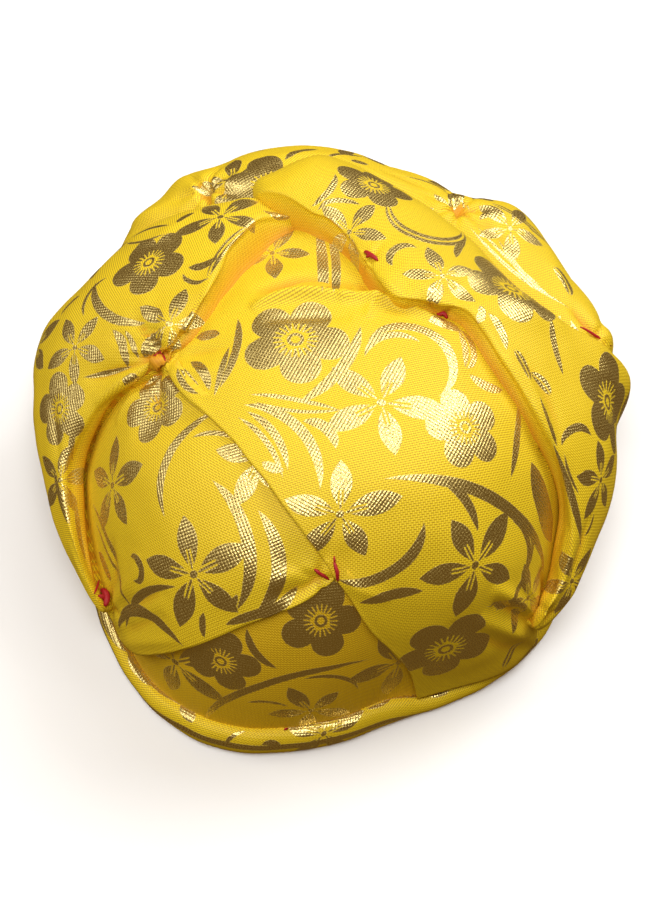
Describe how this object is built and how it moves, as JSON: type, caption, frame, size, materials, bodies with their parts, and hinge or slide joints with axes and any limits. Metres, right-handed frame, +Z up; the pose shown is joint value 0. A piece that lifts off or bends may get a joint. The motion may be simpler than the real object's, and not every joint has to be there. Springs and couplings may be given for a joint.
{
  "type": "rajasthani turban",
  "caption": "Ready-tied Rajasthani turban: printed cotton wound and folded over a soft hollow cap on a rolled hem.",
  "frame": {"origin": "middle of the overall box, on the surface that the turban stands on", "axes": "+X to the turban's right as seen from the folded front, +Y towards the thick end of the wraps, +Z up"},
  "size_m": [0.2508, 0.2602, 0.1225],
  "materials": {
    "cap_cotton": "matt woven cotton with a brown gold foil print",
    "hem_cotton": "matt woven cotton with a brown gold foil print",
    "crown_cotton": "matt woven cotton with a brown gold foil print",
    "wrap_cotton": "matt woven cotton with a brown gold foil print",
    "tacking_thread": "dark red cotton thread, for the bare tacking stitches of the dressed model"
  },
  "bodies": {
    "root": {"cap": "cap_cotton", "rim_roll": "hem_cotton", "drape_left": "crown_cotton", "drape_right": "crown_cotton", "wrap_outer": "wrap_cotton", "wrap_left": "wrap_cotton", "wrap_right": "wrap_cotton"}
  },
  "joints": []
}
